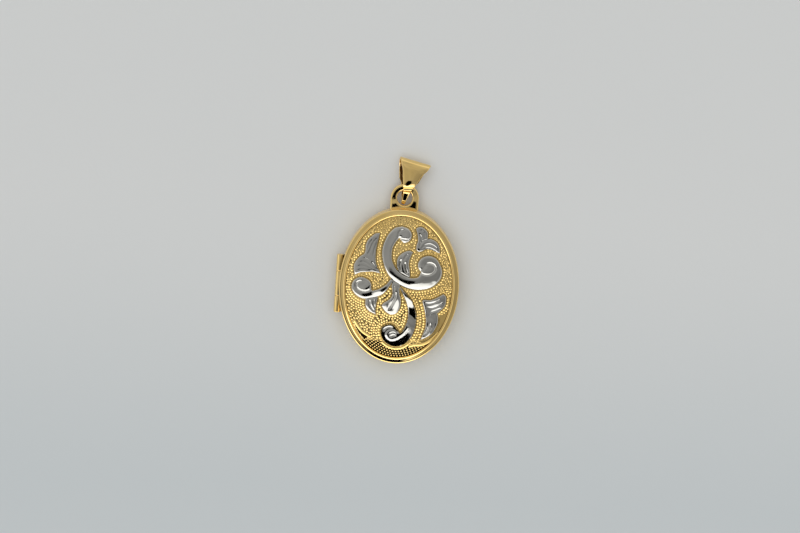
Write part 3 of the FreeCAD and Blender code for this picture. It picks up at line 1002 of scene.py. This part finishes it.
main_leans = [(2.6, 0.5, 1.2, -0.05, 0.09), (3.1, 2.7, 0.7, 0.02, -0.12), (0.4, 6.6, 0.8, 0.0, -0.03)]
main_grooves = [
    ([(2.1, 2.9), (2.3, 2.3), (2.8, 1.95), (3.5, 1.85), (4.1, 2.1), (4.4, 2.6), (4.2, 3.1), (3.7, 3.3),
      (3.2, 3.15), (2.95, 2.8)], 0.11, 0.1),
    ([(-0.55, 5.7), (-0.35, 6.05), (0.1, 6.1), (0.7, 6.05), (1.1, 6.4)], 0.1, 0.09),
    ([(-0.5, 6.4), (-0.45, 6.9), (-0.15, 7.2), (0.3, 7.3)], 0.07, 0.09),
]

left_scroll = [
    [(-0.7, 0.9), (-1.1, 0.2), (-1.5, -0.5), (-2.0, -1.1), (-2.7, -1.45), (-3.5, -1.65), (-4.3, -1.8),
     (-5.0, -1.6), (-5.6, -1.1), (-5.95, -0.4), (-5.9, 0.2), (-5.5, 0.8), (-4.9, 1.05), (-4.2, 0.95),
     (-3.6, 0.6)],
    [(-3.35, 0.15), (-3.3, -0.5), (-2.8, -0.4), (-2.3, -0.15), (-1.8, 0.2), (-1.45, 0.55)],
    [(-1.1, 1.1)],
]
left_crest = [
    (-1.1, 0.55), (-1.7, -0.1), (-2.4, -0.65), (-3.2, -1.0), (-4.1, -1.2), (-4.9, -1.0), (-5.3, -0.4),
    (-5.2, 0.2), (-4.6, 0.5), (-4.1, 0.3),
]
left_leans = [(-2.6, -0.8, 1.3, 0.04, 0.15), (-4.3, 0.1, 0.6, 0.03, -0.14)]
left_grooves = [
    ([(-3.35, 0.1), (-3.5, -0.4), (-4.0, -0.72), (-4.7, -0.7), (-5.2, -0.35), (-5.3, 0.15), (-4.95, 0.5),
      (-4.5, 0.45)], 0.11, 0.1),
]

small_leaf = [
    [(-4.1, -1.6), (-4.0, -2.7), (-3.6, -3.2)],
    [(-2.65, -3.6), (-2.7, -3.0), (-2.6, -1.9)],
    [(-2.5, -1.3)],
]
small_leaf_grooves = [
    ([(-3.55, -1.7), (-3.4, -2.4), (-2.9, -3.2)], 0.12, 0.1),
    ([(-3.0, -1.6), (-2.95, -2.3), (-2.8, -2.9)], 0.08, 0.08),
]

bud = [
    [(-0.8, 0.9), (-0.95, 0.2), (-0.8, -0.6), (-0.85, -1.1), (-1.2, -1.6), (-1.7, -1.95), (-2.0, -2.4),
     (-1.8, -2.8), (-1.4, -3.2), (-0.8, -3.45), (-0.2, -3.3), (0.2, -2.8), (0.4, -2.1), (0.35, -1.4),
     (0.15, -0.7)],
    [(0.1, 0.5)],
]
bud_leans = [(-0.6, -1.9, 1.7, -0.02, 0.17)]
bud_grooves = [
    ([(-0.35, -0.4), (-0.35, -1.2), (-0.55, -1.9), (-0.9, -2.5), (-1.15, -2.9)], 0.13, 0.1),
    ([(-0.65, 0.3), (-0.55, -0.4), (-0.6, -1.0)], 0.08, 0.08),
]

tail_scroll = [
    [(-0.3, 0.7), (0.5, -0.2), (1.1, -0.8), (1.7, -1.5), (2.05, -2.2), (2.35, -3.0), (2.45, -3.9),
     (2.4, -4.8), (2.2, -5.6), (1.8, -6.4), (1.3, -7.0), (0.6, -7.4), (-0.1, -7.5), (-0.8, -7.3),
     (-1.4, -6.9), (-1.8, -6.3), (-1.95, -5.7), (-1.85, -5.2), (-1.4, -4.8), (-0.9, -4.65), (-0.3, -4.8)],
    [(0.1, -5.2), (0.5, -5.7), (0.9, -5.2), (1.15, -4.5), (1.3, -3.8), (1.35, -3.0), (1.2, -2.3),
     (0.9, -1.5), (0.4, -0.6)],
    [(-0.1, 0.3)],
]
tail_leans = [
    (1.4, -1.7, 1.4, 0.12, 0.19),
    (1.8, -4.2, 0.9, -0.1, -0.11),
]
tail_coil = [
    (1.2, -4.4), (1.75, -4.9), (1.3, -5.65), (0.7, -6.2), (0.1, -6.6), (-0.5, -6.75), (-1.05, -6.5),
    (-1.3, -6.05), (-1.2, -5.65), (-0.8, -5.35), (-0.2, -5.35), (0.15, -5.6), (0.5, -5.6), (0.9, -5.1),
]
tail_grooves = [
    ([(-1.6, -5.7), (-1.4, -5.3), (-0.9, -5.05), (-0.4, -5.1)], 0.06, 0.09),
    ([(-0.85, -6.0), (-0.6, -5.75), (-0.2, -5.7), (0.1, -5.9)], 0.05, 0.08),
    ([(-0.7, -6.3), (-0.4, -6.1), (0.0, -6.05)], 0.05, 0.16),
]

inner_leaf = [
    [(1.5, 4.55), (1.0, 4.75), (0.5, 4.6), (0.0, 4.3), (-0.4, 3.8), (-0.5, 3.2), (-0.4, 2.6)],
    [(-0.1, 1.9)],
    [(1.35, 1.2), (1.25, 2.2), (1.1, 3.0), (1.15, 3.6), (1.3, 4.1)],
]
inner_leaf_grooves = [
    ([(0.1, 3.6), (-0.12, 3.1), (-0.05, 2.4), (0.1, 2.0)], 0.2, 0.1),
    ([(0.55, 3.3), (0.6, 2.7), (0.75, 2.2), (1.0, 1.75)], 0.2, 0.1),
    ([(0.95, 4.3), (0.6, 4.0), (0.4, 3.5)], 0.08, 0.1),
]

upper_left_leaf = [
    [(-2.75, 6.65), (-3.3, 6.6), (-3.8, 6.2), (-4.3, 5.6), (-4.5, 5.0), (-4.5, 4.3), (-4.6, 4.0),
     (-5.1, 3.6), (-5.5, 3.1), (-5.8, 2.4), (-5.75, 1.7)],
    [(-5.6, 1.15), (-5.0, 1.5), (-4.3, 1.65), (-3.5, 1.75)],
    [(-2.4, 1.6), (-2.7, 2.2), (-3.0, 2.9), (-3.1, 3.6), (-3.1, 4.5), (-3.0, 5.3)],
]
upper_left_grooves = [
    ([(-3.1, 6.1), (-3.6, 5.3), (-3.9, 4.4), (-4.2, 3.7)], 0.05, 0.09),
    ([(-3.05, 5.6), (-3.35, 4.6), (-3.45, 3.6)], 0.04, 0.08),
    ([(-3.6, 5.9), (-4.05, 5.2), (-4.2, 4.4)], 0.04, 0.07),
    ([(-5.3, 2.9), (-4.6, 2.95), (-3.9, 2.65), (-3.1, 2.0)], 0.024, 0.1),
    ([(-5.5, 2.35), (-4.7, 2.45), (-4.0, 2.25), (-3.2, 1.9)], 0.02, 0.09),
    ([(-5.5, 1.8), (-4.7, 2.0), (-3.9, 1.95), (-3.2, 1.8)], 0.016, 0.08),
    ([(-4.7, 3.5), (-4.1, 3.25), (-3.5, 2.7)], 0.03, 0.09),
    ([(-3.6, 3.0), (-3.2, 2.5), (-2.8, 1.95)], 0.05, 0.12),
]

upper_right_leaf = [
    [(1.6, 7.45), (1.8, 7.65), (2.3, 7.75), (2.8, 7.5), (3.15, 7.1)],
    [(3.2, 6.4), (3.7, 6.3), (4.3, 6.0), (4.7, 5.4)],
    [(4.85, 4.5), (4.3, 4.7), (3.6, 4.95), (3.0, 4.95), (2.6, 4.7), (2.2, 4.6), (1.85, 4.8), (1.8, 5.4),
     (1.95, 6.0), (1.9, 6.5), (1.75, 7.0)],
]
upper_right_grooves = [
    ([(2.4, 5.0), (2.9, 5.5), (3.5, 5.65), (4.1, 5.4), (4.6, 4.9)], 0.07, 0.1),
    ([(2.2, 5.2), (2.5, 5.9), (3.1, 6.2), (3.8, 6.1)], 0.06, 0.1),
    ([(2.1, 6.9), (2.4, 6.3), (2.3, 5.6)], 0.07, 0.1),
    ([(2.1, 7.4), (2.6, 7.1), (2.9, 6.5)], 0.05, 0.09),
    ([(2.7, 5.0), (3.3, 5.2), (4.0, 5.0), (4.5, 4.75)], 0.05, 0.07),
]

lower_right_leaf = [
    [(2.95, -1.5), (3.1, -1.35), (4.0, -1.3), (4.6, -1.05), (5.2, -0.7)],
    [(5.6, -0.45), (5.95, -0.8), (6.0, -1.5), (5.9, -2.0), (5.5, -2.5)],
    [(5.0, -3.0), (5.15, -3.5), (5.15, -4.2), (4.9, -4.9), (4.5, -5.6), (3.9, -6.1)],
    [(3.1, -6.5), (3.3, -5.8), (3.55, -5.0), (3.6, -4.2), (3.5, -3.3), (3.3, -2.5), (3.1, -1.9)],
]
lower_right_leans = [(4.0, -3.8, 0.9, -0.04, -0.16), (4.4, -1.7, 0.9, 0.0, 0.12)]
lower_right_grooves = [
    ([(4.2, -4.1), (4.15, -4.8), (3.85, -5.5), (3.5, -6.0)], 0.1, 0.1),
    ([(4.8, -4.0), (4.7, -4.8), (4.3, -5.5)], 0.04, 0.09),
    ([(3.3, -1.75), (4.0, -1.75), (4.7, -1.5), (5.3, -1.1)], 0.07, 0.1),
    ([(3.6, -2.3), (4.3, -2.3), (5.0, -2.0), (5.6, -1.5)], 0.07, 0.1),
    ([(4.0, -3.4), (4.2, -2.9), (4.8, -2.6), (5.4, -2.3)], 0.06, 0.1),
]

cluster = [
    (main_scroll, 0.36, 0.4, main_grooves, main_crest, main_leans),
    (left_scroll, 0.32, 0.38, left_grooves, left_crest, left_leans),
    (small_leaf, 0.27, 0.36, small_leaf_grooves),
    (bud, 0.29, 0.38, bud_grooves, None, bud_leans),
    (tail_scroll, 0.22, 0.06, tail_grooves, None, tail_leans, tail_coil),
    (inner_leaf, 0.33, 0.36, inner_leaf_grooves),
]
leaves = [
    ("leaf_upper_left", upper_left_leaf, upper_left_grooves, []),
    ("leaf_upper_right", upper_right_leaf, upper_right_grooves, []),
    ("leaf_lower_right", lower_right_leaf, lower_right_grooves, lower_right_leans),
]


def make_relief(white):
    shapes = [relief_shape(*shape) for shape in cluster]
    fit(mesh_piece("scrolls", *merged(shapes), white, 60), "cover", "white_relief", "scroll_cluster")
    for node, runs, grooves, leans in leaves:
        shape = relief_shape(runs, 0.24, 0.22, grooves, None, leans)
        fit(mesh_piece(node + "_shown", *shape, white, 60), "cover", "white_relief", node)


# ---------------- embossed ground

band_left = [(-5.2, -4.6), (-4.7, -5.3), (-4.1, -5.9), (-3.2, -6.4)]
band_right = [(1.9, -7.3), (2.3, -7.15), (3.0, -7.1), (4.0, -6.7), (4.7, -6.1), (5.2, -5.5)]
foot_line = [(-1.6, -7.1), (-0.9, -7.55), (0.0, -7.75), (0.8, -7.62), (1.6, -7.1), (2.2, -6.35)]
raised_lines = [
    (foot_line, 0.06, 0.07),
    (band_left, 0.09, 0.09),
    (band_right, 0.09, 0.09),
]


def panel_places(across, up):
    """A grid bent to fill the oval panel, with a smooth ring for its rim and closer rows at its foot."""
    heights = np.interp(np.linspace(0, 1, up), (0, 0.2, 1), (-1, -0.775, 1))
    u, v = np.meshgrid(np.linspace(-1, 1, across), heights)
    x = panel_half_width * u * np.sqrt(1 - v * v / 2)
    y = panel_half_height * v * np.sqrt(1 - u * u / 2)
    return np.column_stack((x.ravel(), y.ravel()))


def oval_share(places):
    """0 at the centre of the panel and 1 at its rim."""
    return np.hypot(places[:, 0] / panel_half_width, places[:, 1] / panel_half_height)


class Beads:
    """Round beads, placed where they are clear of the relief, the rim and each other."""

    def __init__(self, outlines, zones):
        self.outlines = outlines
        self.zones = zones
        self.spots = np.zeros((0, 2))
        self.sizes = []

    def clear(self, places, margin):
        good = oval_share(places) < 0.982
        for outline in self.outlines:
            good &= ~inside(outline, places)
            good &= distance_to(outline[::2], places) > margin
        for zone in self.zones:
            good &= ~inside(zone, places)
        return places[good]

    def place(self, places, gap, margin, radius, height):
        chosen = []
        taken = self.spots
        for spot in self.clear(places, margin):
            if len(taken) and np.hypot(*(taken - spot).T).min() < gap:
                continue
            taken = np.vstack((taken, spot))
            chosen.append(spot)
            self.sizes.append((radius, height))
        self.spots = taken

    def raise_on(self, heights, places):
        for (x, y), (radius, height) in zip(self.spots, self.sizes):
            near = np.flatnonzero((np.abs(places[:, 0] - x) < radius) & (np.abs(places[:, 1] - y) < radius))
            reach = np.hypot(places[near, 0] - x, places[near, 1] - y) / radius
            bead = height * np.sqrt(np.maximum(1 - reach ** 2, 0))
            heights[near] = np.maximum(heights[near], bead)


def beside(outline, offset):
    """A line a little outside a closed outline."""
    return outline + offset * outward(outline)


def evenly(line, spacing, start):
    """Points of a line that are a spacing apart along it."""
    along = np.concatenate(([0], np.cumsum(np.linalg.norm(np.diff(line, axis=0), axis=1))))
    return line[np.searchsorted(along, np.arange(start, along[-1], spacing))]


# Least gap between beads, least margin to the relief, radius and height of each kind of bead.
ring_bead = (0.26, 0.30, 0.055, 0.03)
low_edge_bead = (0.33, 0.16, 0.11, 0.09)
high_edge_bead = (0.33, 0.16, 0.11, 0.065)
row_bead = (0.29, 0.17, 0.085, 0.065)
low_bead = (0.27, 0.17, 0.08, 0.055)
high_bead = (0.19, 0.15, 0.10, 0.034)


def bead_field(outlines, zones):
    """Neat rings at the foot of the panel, rows along the relief, and finer beads towards the top."""
    random_places = np.random.default_rng(5)
    beads = Beads(outlines, zones)
    ring_spacing = 0.36
    rings = []
    for row in range(5):
        ring = oval_loop(panel_inset + 0.24 + 0.27 * row, 0, 2000)[1000:, :2]
        ring = evenly(ring, ring_spacing, ring_spacing / 2 * (row % 2))
        rings.append(ring[(ring[:, 1] < -6.5) & (np.abs(ring[:, 0]) < 4.2)])
    beads.place(np.vstack(rings), *ring_bead)
    for outline in outlines:
        row = beside(outline, 0.20)
        beads.place(row[(row[:, 1] < 1.0) & (row[:, 1] > -6.8)], *low_edge_bead)
        beads.place(row[row[:, 1] >= 1.0], *high_edge_bead)
    for offset in (0.50, 0.80, 1.10):
        for outline in outlines:
            row = beside(outline, offset)
            beads.place(row[row[:, 1] < -0.1], *row_bead)
    low = hex_grid((-6.8, -7.5), (6.8, 0.0), 0.20)
    high = hex_grid((-6.8, 0.0), (6.8, 9.1), 0.22)
    low = low + random_places.normal(0, 0.02, low.shape)
    high = high + random_places.normal(0, 0.03, high.shape)
    beads.place(low, *low_bead)
    beads.place(high, *high_bead)
    return beads


def make_panel(gold):
    across, up = 262, 352
    places = panel_places(across, up)
    heights = np.zeros(len(places))
    stipple = np.random.default_rng(11).normal(0, 0.006, len(places))
    outlines = [closed_outline(runs, 0.06) for runs, *_ in cluster]
    outlines += [closed_outline(runs, 0.06) for _, runs, *_ in leaves]
    rim_left = [(-3.9, -6.9), (-4.8, -5.8), (-5.5, -4.5)]
    rim_right = [(5.7, -4.6), (5.0, -6.0), (4.0, -7.1), (2.9, -7.9)]
    zones = [
        np.array(band_left + rim_left),
        np.array(band_right[2:] + rim_right[1:3]),
        np.array([(5.25, -3.2), (6.6, -2.6), (6.3, -4.6), (5.0, -6.6), (3.4, -7.0), (3.1, -6.7), (4.1, -6.2),
                  (4.9, -5.1), (5.25, -4.0)]),
    ]
    bead_field(outlines, zones).raise_on(heights, places)
    for points, height, wide in raised_lines:
        reach = distance_to(smooth_line(points, 0.03), places)
        heights = np.maximum(heights, height * np.exp(-(reach / wide) ** 2))
    for zone in zones:
        stipple *= ~inside(zone, places)
    stipple *= places[:, 1] > -6.9
    crevice = np.min([distance_to(outline, places) for outline in outlines], axis=0)
    heights -= 0.07 * np.exp(-(crevice / 0.08) ** 2)
    heights = (heights + stipple) * eased(oval_share(places), 0.998, 0.988)
    top = np.column_stack((places, ground(places) + heights))
    order = np.arange(len(places)).reshape(up, across)
    faces = [
        (order[row, column], order[row, column + 1], order[row + 1, column + 1], order[row + 1, column])
        for row in range(up - 1) for column in range(across - 1)
    ]
    rim = np.concatenate((order[0, :-1], order[:-1, -1], order[-1, :0:-1], order[:0:-1, 0]))
    foot = top[rim].copy()
    foot[:, 2] = panel_low[2]
    foot_ring = list(range(len(top), len(top) + len(rim)))
    hub = len(top) + len(rim)
    faces += wall(rim.tolist(), foot_ring)
    faces += [(here, hub, there) for here, there in zip(foot_ring, foot_ring[1:] + foot_ring[:1])]
    points = list(top) + list(foot) + [np.array((0, 0, panel_low[2]))]
    fit(mesh_piece("embossed_ground", points, faces, gold, 75), "cover", "embossed_gold", "embossed_panel")


# ---------------- the whole scene

bpy.context.scene.view_settings.view_transform = "Standard"
make_camera()
make_floor()
make_world()
make_overhead()

polished = metal("polished_gold", (0.97, 0.70, 0.28), (0.93, 0.655, 0.24), (0.03, 0.06), waviness=0.004)
struck = metal("struck_gold", (0.97, 0.69, 0.26), (0.92, 0.63, 0.21), (0.05, 0.10), grain=0.002)
brushed = metal("brushed_gold", (0.93, 0.70, 0.33), (0.88, 0.63, 0.27), (0.22, 0.34), brushed=(1, 14, 1))
# Darker, rougher gold: painted shade for the inside of the bail's fold.
bail_shade = metal("painted_bail_shade_gold", (0.50, 0.33, 0.14), (0.40, 0.25, 0.10), (0.22, 0.34), grain=0.002)
# Dark grey-brown gold: painted shade for the gaps round the hinge.
hinge_shade = metal("painted_shade_gold", (0.34, 0.30, 0.22), (0.26, 0.22, 0.15), (0.30, 0.42), grain=0.002)
white = metal("rhodium", (0.53, 0.52, 0.48), (0.48, 0.47, 0.43), (0.03, 0.07), waviness=0.010)

make_back(polished, hinge_shade)
make_cover(polished, hinge_shade)
make_rims(polished, hinge_shade)
make_pictures(brushed, window_material(), card_material())
make_hinge(polished, hinge_shade)
make_eye(polished)
make_bail(polished, bail_shade)
make_panel(struck)
make_relief(white)
